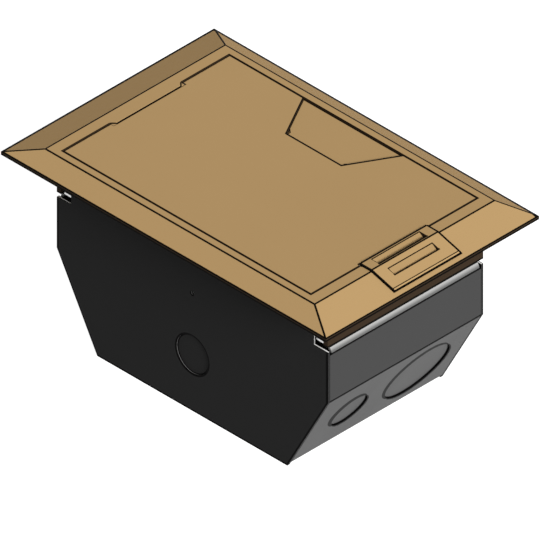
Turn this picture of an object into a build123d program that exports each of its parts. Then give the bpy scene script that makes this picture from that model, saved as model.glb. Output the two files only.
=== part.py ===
from build123d import *
import os
from math import atan2, cos, degrees, hypot, sin, tan

# Floor box for a raised access floor. Millimetres, +Z up.
# The origin is at the middle of the flat bottom of the body. +X points to the cable door,
# -X to the lid hinge, +Y to the pull flap.

os.makedirs("parts", exist_ok=True)

# Lid and its opening: the lid ends inside the body's ends and overhangs its sides
lid_end_inset = 12.7
lid_side_overhang = 5.4
lid_thickness = 4.0
lid_gap = 1.0
pad_height = 0.8

# Trim frame
border_end = 10.7
border_side = 6.7
bevel_end = 30.0
bevel_side = 17.9
bevel_rise = 8.6
rim_height = 3.0
rim_wall = 4.0
ledge_end = 6.0
throat_wall = 2.9
throat_depth = 16.5
leg_thickness = 4.7

# Sheet-metal body
floor_level = 166.5
body_length = 291.0
body_width = 167.0
bottom_length = 204.0
slope_top = 79.3
wall_top = 131.0
wrap_sheet = 2.0
plate_sheet = 2.5
bend_radius = 7.5
bend_inset = 4.2
wrap_flange_length = 25.0
wrap_flange_setback = 2.2
seat_gap = 0.1

# Corner notches of the side plates
notch_length = 15.4
notch_bottom = 126.5

# Pry-out discs and the small hole
large_pryout = 62.7
small_pryout = 34.9
pryout_gap = 0.4
pryout_recess = 1.3
pryout_sheet = 1.2
pryout_tang = 3.0
side_pryout_height = 52.1
slope_large_offset = 34.4
slope_small_offset = 38.5
divider_hole = 4.5
divider_hole_height = 109.3

# Lid hinge
hinge_depth = 1.6
hinge_pin_diameter = 2.0
hinge_pin_length = 104.0
knuckle_root_length = 76.0
knuckle_nose_length = 68.0
knuckle_step = 0.5
pin_fit = 0.05

# Pull flap
flap_root_length = 59.2
flap_edge_length = 106.0
flap_root_y = 47.4
flap_thickness = 1.8
flap_sink = 1.2
flap_edge_gap = 1.6
flap_side_gap = 0.7
flap_pin_diameter = 1.2
flap_relief = 6.0
finger_slot_width = 5.0

# Cable door
door_width = 73.0
door_reach = 37.0
door_sheet = 1.2
door_seat = 0.2
door_barrel_radius = 2.0
door_axis_depth = 0.6
door_lug_width = 3.5
door_lug_radius = 1.4
door_pin_diameter = 1.4
door_pin_length = 12.5
door_back_gap = 0.45
door_edge_chamfer = 2.2
ramp_wall = 1.0
border_ramp_start = 0.9
border_ramp_width = 7.6
border_ramp_length = 51.2
border_ramp_depth = 4.2
bevel_ramp_start = 6.0
bevel_ramp_width = 6.6
bevel_ramp_length = 47.2
bevel_ramp_depth = 2.4

# Cable channel under the door
channel_width = 58.0
channel_length = 31.0
channel_floor = 1.0
channel_wall = 3.0

# Hold-down clamps
clamp_screw_diameter = 5.0
clamp_screw_end_inset = 17.5
clamp_screw_side_inset = 19.5
clamp_boss_radius = 6.5
clamp_boss_depth = 15.0
clamp_head_radius = 4.6
clamp_head_height = 3.0
clamp_head_sink = 3.4
clamp_screw_length = 58.0
clamp_sheet = 2.0
clamp_nut_thickness = 3.0
clamp_nut_setback = 4.6
clamp_travel = 12.0
clamp_clearance = 0.3
tongue_width = 8.5
tongue_setback = 0.9
tongue_tip_setback = 2.2
tongue_lift = 4.3

# Feet of the trim frame and their screws
foot_width = 20.0
foot_setback = 2.0
foot_thickness = 3.0
frame_screw_inset = 20.5
frame_screw_diameter = 4.0

# Device tray, plates and divider
tray_sheet = 1.5
tray_level = 97.5
tray_floor_length = 104.0
tray_shelf = 28.5
tray_bend = 3.0
tray_side_gap = 0.3
device_plate_sheet = 2.0
device_plate_length = 130.0
device_plate_height = 62.0
plate_screw_margin = 4.0
plate_screw_diameter = 3.0
device_window_length = 100.0
device_window_height = 46.0
receptacle_pitch = 38.9
receptacle_diameter = 34.2
receptacle_height = 28.6
data_port_width = 14.8
data_port_height = 19.4
data_port_pitch = 24.0
data_port_count = 4
divider_sheet = 1.5
divider_top = 160.0
divider_flange = 14.0
divider_screw_diameter = 3.4

# Ground screw
ground_screw_x = 30.0
ground_screw_diameter = 4.0
ground_screw_length = 6.0

# Lid stiffener
stiffener_sheet = 1.5
stiffener_end_inset = 17.8
stiffener_side_inset = 18.9
rib_depth = 7.0
rib_width = 16.0
rib_pitch = 44.0
rivet_diameter = 4.0

# Rubber pads under the lid
pad_diameter = 7.0
pad_thickness = 2.0
pad_inset = 20.8

# Levels and half sizes that follow from the sizes above
rim_top = floor_level + rim_height
top_level = rim_top + bevel_rise
lid_bottom = top_level - lid_thickness
lid_length = body_length - 2 * lid_end_inset
lid_width = body_width + 2 * lid_side_overhang
stiffener_length = lid_length - 2 * stiffener_end_inset
stiffener_width = lid_width - 2 * stiffener_side_inset
ledge_level = lid_bottom - pad_height
opening_length = lid_length + 2 * lid_gap
opening_width = lid_width + 2 * lid_gap
border_length = opening_length + 2 * border_end
border_width = opening_width + 2 * border_side
flange_length = border_length + 2 * bevel_end
flange_width = border_width + 2 * bevel_side
throat_length = opening_length - 2 * ledge_end
inner_width = body_width - 2 * plate_sheet
throat_width = inner_width - 2 * seat_gap - 2 * throat_wall
collar_length = body_length + 2 * rim_height
collar_width = max(opening_width, body_width) + 2 * rim_height
bevel_angle = atan2(bevel_rise, bevel_end)
pad_x = lid_length / 2 - pad_inset
pad_y = (throat_width + opening_width) / 4
clamp_screw_x = body_length / 2 - clamp_screw_end_inset
clamp_screw_y = body_width / 2 - clamp_screw_side_inset
frame_screw_x = body_length / 2 - frame_screw_inset

# Lid hinge axis, one hinge depth inside the lid's left edge and under its top
hinge_x = -lid_length / 2 + hinge_depth
hinge_z = top_level - hinge_depth
knuckle_nose_x = hinge_x + hinge_depth

# Cable door axis, on the right edge of the lid
door_x = lid_length / 2
door_z = top_level - door_axis_depth
door_top = door_seat + door_sheet
door_end_x = door_x + door_reach
lid_cut_x = door_x - door_barrel_radius - door_back_gap

# Pull flap axis
flap_top = top_level - flap_sink
flap_axis_y = flap_root_y + flap_thickness / 2 + clamp_clearance
flap_axis_z = flap_top - flap_thickness / 2

# Inclined part of the device tray, on the right half
tray_slope_end = body_length / 2 - tray_shelf
tray_rise = wall_top - wrap_sheet - tray_level
tray_run = tray_slope_end - tray_floor_length / 2
tray_incline = hypot(tray_rise, tray_run)
plate_screw_x = device_plate_height - 2 * plate_screw_margin
plate_screw_y = device_plate_length - 2 * plate_screw_margin

# Tongue of a clamp, in the +X +Y corner
notch_x = body_length / 2 - notch_length
tongue_inner_x = notch_x + tongue_setback
tongue_outer_x = tongue_inner_x + tongue_width
tongue_bottom = notch_bottom + tongue_lift
tongue_tip_y = body_width / 2 - tongue_tip_setback
clamp_inner_x = clamp_screw_x - clamp_boss_radius + clamp_clearance
slot_radius = clamp_screw_diameter / 2 + clamp_clearance
tongue_root_y = clamp_screw_y - clamp_travel - slot_radius - clamp_nut_thickness

# The body's end flanges and the frame's feet stay between the tongues
wrap_flange_half = tongue_root_y - wrap_flange_setback
foot_outer = wrap_flange_half - foot_setback
foot_inner = foot_outer - foot_width

corners = [("front_left", -1, -1), ("front_right", 1, -1), ("back_right", 1, 1), ("back_left", -1, 1)]


def flap_half(y):
    """Half width of the flap's trapezoid at a distance y from the middle of the lid."""
    taper = (flap_edge_length - flap_root_length) / 2 / (lid_width / 2 - flap_root_y)
    return flap_root_length / 2 + taper * (y - flap_root_y)


def mirrored_x(points):
    """Close a symmetric outline from the points on its +X side."""
    return points + [(-x, y) for x, y in reversed(points)]


# Hollow under the flange: it follows the bevels one rim height below them
with BuildPart() as flange_hollow:
    with BuildSketch(Plane.XY.offset(floor_level)):
        Rectangle(flange_length, flange_width)
    with BuildSketch(Plane.XY.offset(top_level - rim_height)):
        Rectangle(border_length, border_width)
    loft(ruled=True)
    with BuildSketch(Plane.XY.offset(floor_level)):
        Rectangle(flange_length - 2 * rim_wall, flange_width - 2 * rim_wall)
    extrude(amount=top_level, mode=Mode.INTERSECT)
    with BuildSketch(Plane.XY.offset(floor_level)):
        Rectangle(collar_length, collar_width)
        with Locations(((opening_length + channel_length) / 2, 0)):
            Rectangle(channel_length + 2 * channel_wall, channel_width + 2 * channel_wall)
    extrude(amount=top_level, mode=Mode.SUBTRACT)

# Knuckle block of the trim frame: clipped top corners, a round nose about the hinge axis
with BuildPart() as knuckle_block:
    with BuildSketch(Plane.XY.offset(ledge_level)):
        with Locations((-opening_length / 2, 0)):
            knuckle_reach = knuckle_nose_x + opening_length / 2
            Rectangle(knuckle_reach, knuckle_root_length, align=(Align.MIN, Align.CENTER))
    extrude(amount=top_level - ledge_level)
    with BuildSketch(Plane.XY.offset(top_level)):
        for side in (-1, 1):
            Polygon(
                (knuckle_nose_x, side * knuckle_nose_length / 2),
                (knuckle_nose_x, side * knuckle_root_length / 2),
                (-opening_length / 2, side * knuckle_root_length / 2),
                align=None,
            )
    extrude(amount=-knuckle_step, mode=Mode.SUBTRACT)
    with BuildSketch(Plane.XZ):
        with Locations((hinge_x + hinge_depth, hinge_z + hinge_depth)):
            Rectangle(2 * hinge_depth, 2 * hinge_depth)
        with Locations((hinge_x, hinge_z)):
            Circle(hinge_depth, mode=Mode.SUBTRACT)
    extrude(amount=knuckle_root_length, both=True, mode=Mode.SUBTRACT)

# Trim frame: bevelled flange, ledge for the lid, throat, end legs, feet and clamp bosses
with BuildPart() as trim_frame:
    with BuildSketch(Plane.XY.offset(floor_level)):
        Rectangle(flange_length, flange_width)
    extrude(amount=rim_height)
    with BuildSketch(Plane.XY.offset(rim_top)):
        Rectangle(flange_length, flange_width)
    with BuildSketch(Plane.XY.offset(top_level)):
        Rectangle(border_length, border_width)
    loft(ruled=True)
    add(flange_hollow.part, mode=Mode.SUBTRACT)
    # Opening above the ledge, throat below it
    with BuildSketch(Plane.XY.offset(ledge_level)):
        Rectangle(opening_length, opening_width)
    extrude(amount=top_level, mode=Mode.SUBTRACT)
    with BuildSketch(Plane.XY.offset(floor_level)):
        Rectangle(throat_length, throat_width)
    extrude(amount=top_level, mode=Mode.SUBTRACT)
    # Legs at the two ends, flush with the body, with feet that stand on the body's flanges
    with BuildSketch(Plane.XY.offset(wall_top)):
        for side in (-1, 1):
            with Locations((side * (body_length - leg_thickness) / 2, 0)):
                Rectangle(leg_thickness, body_width)
    extrude(amount=floor_level - wall_top)
    with BuildSketch(Plane.XY.offset(wall_top)):
        foot_reach = body_length / 2 - frame_screw_x + frame_screw_diameter
        for side in (-1, 1):
            for end in (-1, 1):
                foot_x = side * (body_length - foot_reach) / 2
                foot_y = end * (foot_inner + foot_outer) / 2
                with Locations((foot_x, foot_y)):
                    Rectangle(foot_reach, foot_outer - foot_inner)
    extrude(amount=foot_thickness)
    # Throat walls along the two sides, just inside the side plates
    with BuildSketch(Plane.XY.offset(floor_level - throat_depth)):
        for side in (-1, 1):
            with Locations((0, side * (throat_width + throat_wall) / 2)):
                Rectangle(throat_length, throat_wall)
    extrude(amount=throat_depth)
    # Bosses in the throat's corners for the clamp screws
    boss_length = opening_length / 2 - clamp_screw_x + clamp_boss_radius
    boss_width = throat_width / 2 + throat_wall - clamp_screw_y + clamp_boss_radius
    with BuildSketch(Plane.XY.offset(ledge_level - clamp_boss_depth)):
        for name, sx, sy in corners:
            boss_x = sx * (clamp_screw_x - clamp_boss_radius + boss_length / 2)
            boss_y = sy * (clamp_screw_y - clamp_boss_radius + boss_width / 2)
            with Locations((boss_x, boss_y)):
                Rectangle(boss_length, boss_width)
    extrude(amount=clamp_boss_depth)
    fillet(
        [
            edge
            for edge in trim_frame.edges().filter_by(Axis.Z)
            if abs(abs(edge.center().X) - clamp_screw_x + clamp_boss_radius) < 0.01
            and abs(abs(edge.center().Y) - clamp_screw_y + clamp_boss_radius) < 0.01
        ],
        clamp_boss_radius - 0.5,
    )
    add(knuckle_block.part)
    # Channel for the cables under the cable door, open to the throat
    with BuildSketch(Plane.XY.offset(floor_level + channel_floor)):
        with Locations((opening_length / 2 - ledge_end, 0)):
            channel_run = channel_length + ledge_end
            Rectangle(channel_run, channel_width, align=(Align.MIN, Align.CENTER))
    extrude(amount=top_level, mode=Mode.SUBTRACT)
    # Strip cut out of the border for the door's hinge lugs
    with BuildSketch(Plane.XY.offset(door_z - door_barrel_radius - door_back_gap)):
        strip_end = door_x + door_barrel_radius + door_back_gap
        with Locations((opening_length / 2 - lid_gap, 0)):
            Rectangle(
                strip_end - opening_length / 2 + lid_gap,
                door_width + 2 * door_back_gap,
                align=(Align.MIN, Align.CENTER),
            )
    extrude(amount=top_level, mode=Mode.SUBTRACT)
    # Seats for the rubber pads, holes for the clamp and frame screws
    with Locations(Plane.XY.offset(ledge_level)):
        with GridLocations(2 * pad_x, 2 * pad_y, 2, 2):
            Hole(pad_diameter / 2, depth=pad_thickness - pad_height)
        with GridLocations(2 * clamp_screw_x, 2 * clamp_screw_y, 2, 2):
            CounterBoreHole(
                clamp_screw_diameter / 2 + clamp_clearance,
                clamp_head_radius + 2 * clamp_clearance,
                clamp_head_sink,
                depth=clamp_boss_depth + top_level,
            )
    with BuildSketch(Plane.XY.offset(wall_top)):
        with GridLocations(2 * frame_screw_x, foot_inner + foot_outer, 2, 2):
            Circle(frame_screw_diameter / 2 + pin_fit)
    extrude(amount=foot_thickness, mode=Mode.SUBTRACT)
    # Bore for the hinge pin, a press fit in the knuckle block
    with BuildSketch(Plane.XZ):
        with Locations((hinge_x, hinge_z)):
            Circle(hinge_pin_diameter / 2)
    extrude(amount=knuckle_root_length / 2, both=True, mode=Mode.SUBTRACT)
trim_frame.part.label = "trim_frame"
export_step(trim_frame.part, "parts/trim_frame.step")

# Body wrap: one sheet folded into the top flanges, end walls, slopes and floor
slope_x = (body_length + bottom_length) / 4
slope_z = slope_top / 2
slope_run = (body_length - bottom_length) / 2
slope_length = hypot(slope_run, slope_top)


def slope_plane(side):
    """Plane on the outside of a sloped end, at its middle, with its normal pointing out."""
    normal = (side * slope_top / slope_length, 0, -slope_run / slope_length)
    return Plane(origin=(side * slope_x, 0, slope_z), x_dir=(0, side, 0), z_dir=normal)


# The left slope is the right one turned half a turn, so its discs change sides
slope_pryouts = [
    (1, slope_large_offset, large_pryout),
    (1, -slope_small_offset, small_pryout),
    (-1, slope_large_offset, large_pryout),
    (-1, -slope_small_offset, small_pryout),
]

with BuildPart() as box_wrap:
    with BuildSketch(Plane.XZ) as wrap_section:
        with BuildLine():
            flange_end = body_length / 2 - wrap_flange_length
            FilletPolyline(
                (-flange_end, wall_top),
                (-body_length / 2, wall_top),
                (-body_length / 2, slope_top),
                (-bottom_length / 2, 0),
                (bottom_length / 2, 0),
                (body_length / 2, slope_top),
                (body_length / 2, wall_top),
                (flange_end, wall_top),
                radius=bend_radius,
            )
            offset(amount=wrap_sheet, side=Side.LEFT)
        make_face()
    extrude(amount=inner_width / 2, both=True)
    # The rounded top stops short of the side plates, the flanges are narrower still
    relief_depth = bend_radius + 0.4
    with BuildSketch(Plane.XY.offset(wall_top - relief_depth)):
        Rectangle(body_length + bend_radius, inner_width + bend_radius)
        Rectangle(
            body_length + bend_radius, body_width - 2 * bend_inset, mode=Mode.SUBTRACT
        )
    extrude(amount=2 * relief_depth, mode=Mode.SUBTRACT)
    with BuildSketch(Plane.XY.offset(wall_top - bend_radius)):
        Rectangle(2 * (tongue_outer_x + 2 * clamp_clearance), inner_width + bend_radius)
        Rectangle(body_length, 2 * wrap_flange_half, mode=Mode.SUBTRACT)
    extrude(amount=2 * bend_radius, mode=Mode.SUBTRACT)
    for side, offset_y, diameter in slope_pryouts:
        with BuildSketch(slope_plane(side)):
            with Locations((offset_y, 0)):
                Circle(diameter / 2)
        extrude(amount=bend_radius, both=True, mode=Mode.SUBTRACT)
    with BuildSketch(Plane.XY.offset(wall_top - bend_radius)):
        with GridLocations(2 * frame_screw_x, foot_inner + foot_outer, 2, 2):
            Circle(frame_screw_diameter / 2 + pin_fit)
    extrude(amount=2 * bend_radius, mode=Mode.SUBTRACT)
box_wrap.part.label = "box_wrap"
export_step(box_wrap.part, "parts/box_wrap.step")

# Side plates with corner notches, a pry-out and the divider's hole
plate_outline = mirrored_x(
    [
        (notch_x, floor_level),
        (notch_x, notch_bottom),
        (body_length / 2, notch_bottom),
        (body_length / 2, slope_top),
        (bottom_length / 2, 0),
    ]
)
for name, side in (("side_plate_front", -1), ("side_plate_back", 1)):
    plane = Plane.XZ.offset(-side * inner_width / 2)
    with BuildPart() as side_plate:
        with BuildSketch(plane):
            Polygon(*plate_outline, align=None)
            with Locations((0, side_pryout_height)):
                Circle(small_pryout / 2, mode=Mode.SUBTRACT)
            with Locations((0, divider_hole_height)):
                Circle(divider_hole / 2, mode=Mode.SUBTRACT)
        extrude(amount=-side * plate_sheet)
    side_plate.part.label = name
    export_step(side_plate.part, "parts/" + name + ".step")


# Pry-out discs, pressed in a little from the outside face
with BuildPart() as side_pryouts:
    for side in (-1, 1):
        outer_face = body_width / 2 - pryout_recess
        with BuildSketch(Plane.XZ.offset(-side * outer_face)):
            with Locations((0, side_pryout_height)):
                Circle(small_pryout / 2 - pryout_gap)
                Rectangle(small_pryout, pryout_tang)
                Circle(small_pryout / 2, mode=Mode.INTERSECT)
        extrude(amount=side * pryout_sheet)
side_pryouts.part.label = "side_pryouts"
export_step(side_pryouts.part, "parts/side_pryouts.step")

for name, diameter in (("end_pryouts_large", large_pryout), ("end_pryouts_small", small_pryout)):
    with BuildPart() as end_pryouts:
        for side, offset_y, disc in slope_pryouts:
            if disc == diameter:
                with BuildSketch(slope_plane(side).offset(-pryout_recess)):
                    with Locations((offset_y, 0)):
                        Circle(disc / 2 - pryout_gap)
                        Rectangle(disc, pryout_tang)
                        Circle(disc / 2, mode=Mode.INTERSECT)
                extrude(amount=-pryout_sheet)
    end_pryouts.part.label = name
    export_step(end_pryouts.part, "parts/" + name + ".step")

# Lid hinge pin
with BuildPart() as lid_hinge_pin:
    with BuildSketch(Plane.XZ):
        with Locations((hinge_x, hinge_z)):
            Circle(hinge_pin_diameter / 2)
    extrude(amount=hinge_pin_length / 2, both=True)
lid_hinge_pin.part.label = "lid_hinge_pin"
export_step(lid_hinge_pin.part, "parts/lid_hinge_pin.step")


# Planes on the two inclined parts of the device tray, normal to the open space above
def tray_plane(side):
    mid_x = side * (tray_floor_length / 2 + tray_run / 2)
    along = (side * tray_run / tray_incline, 0, tray_rise / tray_incline)
    normal = (-side * tray_rise / tray_incline, 0, tray_run / tray_incline)
    return Plane(origin=(mid_x, 0, tray_level + tray_rise / 2), x_dir=along, z_dir=normal)


# Device tray: its end flanges lie under those of the body wrap
with BuildPart() as device_tray:
    with BuildSketch(Plane.XZ):
        with BuildLine():
            tray_end = body_length / 2 - bend_radius
            tray_top = wall_top - wrap_sheet
            FilletPolyline(
                (-tray_end, tray_top),
                (-tray_slope_end, tray_top),
                (-tray_floor_length / 2, tray_level),
                (tray_floor_length / 2, tray_level),
                (tray_slope_end, tray_top),
                (tray_end, tray_top),
                radius=tray_bend,
            )
            offset(amount=tray_sheet, side=Side.RIGHT)
        make_face()
    extrude(amount=inner_width / 2 - tray_side_gap, both=True)
    with BuildSketch(Plane.XY.offset(tray_level)):
        for side in (-1, 1):
            with Locations((side * tray_slope_end, 0)):
                strip = tray_end - tray_slope_end + tray_sheet
                outward = (Align.MIN if side > 0 else Align.MAX, Align.CENTER)
                Rectangle(strip, inner_width, align=outward)
                Rectangle(strip, 2 * wrap_flange_half, align=outward, mode=Mode.SUBTRACT)
    extrude(amount=wall_top, mode=Mode.SUBTRACT)
    with BuildSketch(Plane.XY.offset(tray_level + tray_sheet)):
        with Locations((ground_screw_x, 0)):
            Circle(ground_screw_diameter / 2 + pin_fit)
    extrude(amount=-3 * tray_sheet, mode=Mode.SUBTRACT)
    for side in (-1, 1):
        with BuildSketch(tray_plane(side)):
            RectangleRounded(device_window_height, device_window_length, tray_bend)
            with GridLocations(plate_screw_x, plate_screw_y, 2, 2):
                Circle(plate_screw_diameter / 2 + pin_fit)
        extrude(amount=2 * tray_bend, both=True, mode=Mode.SUBTRACT)
    with BuildSketch(Plane.XY.offset(wall_top - bend_radius)):
        with GridLocations(2 * frame_screw_x, foot_inner + foot_outer, 2, 2):
            Circle(frame_screw_diameter / 2 + pin_fit)
    extrude(amount=2 * bend_radius, mode=Mode.SUBTRACT)
device_tray.part.label = "device_tray"
export_step(device_tray.part, "parts/device_tray.step")

# Power plate: two receptacle faces, one above the other, with a centre screw hole
with BuildPart() as power_plate:
    with BuildSketch(tray_plane(-1)):
        RectangleRounded(device_plate_height, device_plate_length, tray_bend)
        with GridLocations(plate_screw_x, plate_screw_y, 2, 2):
            Circle(plate_screw_diameter / 2 + pin_fit, mode=Mode.SUBTRACT)
        Circle(plate_screw_diameter / 2, mode=Mode.SUBTRACT)
        with BuildSketch(mode=Mode.SUBTRACT):
            with GridLocations(0, receptacle_pitch, 1, 2):
                Circle(receptacle_diameter / 2)
                Rectangle(receptacle_diameter, receptacle_height, mode=Mode.INTERSECT)
    extrude(amount=device_plate_sheet)
power_plate.part.label = "power_plate"
export_step(power_plate.part, "parts/power_plate.step")

# Data plate: a row of square ports for snap-in jacks
with BuildPart() as data_plate:
    with BuildSketch(tray_plane(1)):
        RectangleRounded(device_plate_height, device_plate_length, tray_bend)
        with GridLocations(plate_screw_x, plate_screw_y, 2, 2):
            Circle(plate_screw_diameter / 2 + pin_fit, mode=Mode.SUBTRACT)
        with GridLocations(0, data_port_pitch, 1, data_port_count):
            Rectangle(data_port_height, data_port_width, mode=Mode.SUBTRACT)
    extrude(amount=device_plate_sheet)
data_plate.part.label = "data_plate"
export_step(data_plate.part, "parts/data_plate.step")

# Screws that hold the two device plates
with BuildPart() as plate_screws:
    for side in (-1, 1):
        with BuildSketch(tray_plane(side).offset(-2 * tray_sheet)):
            with GridLocations(plate_screw_x, plate_screw_y, 2, 2):
                Circle(plate_screw_diameter / 2)
        extrude(amount=2 * tray_sheet + device_plate_sheet)
        with BuildSketch(tray_plane(side).offset(device_plate_sheet)):
            with GridLocations(plate_screw_x, plate_screw_y, 2, 2):
                Circle(plate_screw_diameter)
        extrude(amount=plate_screw_diameter / 2)
plate_screws.part.label = "plate_screws"
export_step(plate_screws.part, "parts/plate_screws.step")

# Divider between power and data: a wall with a flange along each side plate
with BuildPart() as divider:
    with BuildSketch(Plane.XY.offset(tray_level)):
        divider_width = inner_width - 2 * tray_side_gap
        Rectangle(divider_flange, divider_width)
        with Locations((divider_sheet, 0)):
            Rectangle(divider_flange, divider_width - 2 * divider_sheet, mode=Mode.SUBTRACT)
    extrude(amount=divider_top - tray_level)
    # The flanges stop below the throat of the trim frame
    with BuildSketch(Plane.XY.offset(floor_level - throat_depth - 2)):
        Rectangle(divider_flange, inner_width)
        Rectangle(divider_flange, throat_width - 2, mode=Mode.SUBTRACT)
    extrude(amount=floor_level, mode=Mode.SUBTRACT)
    with BuildSketch(Plane.XZ):
        with Locations((0, divider_hole_height)):
            Circle(divider_screw_diameter / 2)
    extrude(amount=body_width, both=True, mode=Mode.SUBTRACT)
divider.part.label = "divider"
export_step(divider.part, "parts/divider.step")

# Ground screw through the tray's floor
with BuildPart() as ground_screw:
    with BuildSketch(Plane.XY.offset(tray_level)):
        with Locations((ground_screw_x, 0)):
            RegularPolygon(ground_screw_diameter, 6)
    extrude(amount=ground_screw_diameter * 0.8)
    with BuildSketch(Plane.XY.offset(tray_level + ground_screw_diameter * 0.8)):
        with Locations((ground_screw_x, 0)):
            Rectangle(3 * ground_screw_diameter, ground_screw_diameter / 4)
    extrude(amount=-0.3 * ground_screw_diameter, mode=Mode.SUBTRACT)
    with BuildSketch(Plane.XY.offset(tray_level)):
        with Locations((ground_screw_x, 0)):
            Circle(ground_screw_diameter / 2)
    extrude(amount=-ground_screw_length)
ground_screw.part.label = "ground_screw"
export_step(ground_screw.part, "parts/ground_screw.step")

# Screws through the frame's feet, the body's flanges and the tray's flanges
with BuildPart() as frame_screws:
    with BuildSketch(Plane.XY.offset(wall_top + foot_thickness)):
        with GridLocations(2 * frame_screw_x, foot_inner + foot_outer, 2, 2):
            Circle(frame_screw_diameter * 0.95)
    extrude(amount=frame_screw_diameter * 0.6)
    with BuildSketch(Plane.XY.offset(wall_top + foot_thickness)):
        with GridLocations(2 * frame_screw_x, foot_inner + foot_outer, 2, 2):
            Circle(frame_screw_diameter / 2)
    extrude(amount=-(foot_thickness + wrap_sheet + 3 * tray_sheet))
frame_screws.part.label = "frame_screws"
export_step(frame_screws.part, "parts/frame_screws.step")

# Rubber pads that carry the lid
with BuildPart() as lid_pads:
    with BuildSketch(Plane.XY.offset(lid_bottom)):
        with GridLocations(2 * pad_x, 2 * pad_y, 2, 2):
            Circle(pad_diameter / 2)
    extrude(amount=-pad_thickness)
lid_pads.part.label = "lid_pads"
export_step(lid_pads.part, "parts/lid_pads.step")

# Clamp screws, from the bosses down past the clamp nuts
clamp_head_z = ledge_level - clamp_head_sink
with BuildPart() as clamp_screws:
    with BuildSketch(Plane.XY.offset(clamp_head_z)):
        with GridLocations(2 * clamp_screw_x, 2 * clamp_screw_y, 2, 2):
            Circle(clamp_head_radius)
    extrude(amount=clamp_head_height)
    with BuildSketch(Plane.XY.offset(clamp_head_z)):
        with GridLocations(2 * clamp_screw_x, 2 * clamp_screw_y, 2, 2):
            Circle(clamp_screw_diameter / 2)
    extrude(amount=-clamp_screw_length)
    with BuildSketch(Plane.XY.offset(clamp_head_z + clamp_head_height)):
        with GridLocations(2 * clamp_screw_x, 2 * clamp_screw_y, 2, 2):
            RegularPolygon(clamp_screw_diameter * 0.45, 6)
    extrude(amount=-clamp_head_height * 0.7, mode=Mode.SUBTRACT)
clamp_screws.part.label = "clamp_screws"
export_step(clamp_screws.part, "parts/clamp_screws.step")

# A clamp nut and its slide-out tongue in each corner
nut_length = tongue_outer_x - clamp_inner_x
nut_near_y = clamp_screw_y - clamp_boss_radius
nut_far_y = inner_width / 2 - clamp_nut_setback
for corner, sx, sy in corners:
    with BuildPart() as clamp_nut:
        with BuildSketch(Plane.XY.offset(tongue_bottom)):
            nut_centre = (sx * (clamp_inner_x + nut_length / 2), sy * (nut_near_y + nut_far_y) / 2)
            with Locations(nut_centre):
                Rectangle(nut_length, nut_far_y - nut_near_y)
            with Locations((sx * clamp_screw_x, sy * clamp_screw_y)):
                Circle(slot_radius, mode=Mode.SUBTRACT)
        extrude(amount=-clamp_nut_thickness)
    clamp_nut.part.label = "clamp_nut_" + corner
    export_step(clamp_nut.part, "parts/clamp_nut_" + corner + ".step")

    with BuildPart() as clamp_tongue:
        with BuildSketch(Plane.XY.offset(tongue_bottom)):
            body_far_y = clamp_screw_y + slot_radius + clamp_nut_thickness / 2
            body_centre = (
                sx * (clamp_inner_x + nut_length / 2),
                sy * (tongue_root_y + body_far_y) / 2,
            )
            with Locations(body_centre):
                Rectangle(nut_length, body_far_y - tongue_root_y)
            tip_centre = (
                sx * (tongue_inner_x + tongue_width / 2),
                sy * (tongue_root_y + tongue_tip_y) / 2,
            )
            with Locations(tip_centre):
                Rectangle(tongue_width, tongue_tip_y - tongue_root_y)
            slot_centre = (sx * clamp_screw_x, sy * (clamp_screw_y - clamp_travel / 2))
            with Locations(slot_centre):
                SlotCenterToCenter(clamp_travel, 2 * slot_radius, rotation=90, mode=Mode.SUBTRACT)
        extrude(amount=clamp_sheet)
    clamp_tongue.part.label = "clamp_tongue_" + corner
    export_step(clamp_tongue.part, "parts/clamp_tongue_" + corner + ".step")

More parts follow.
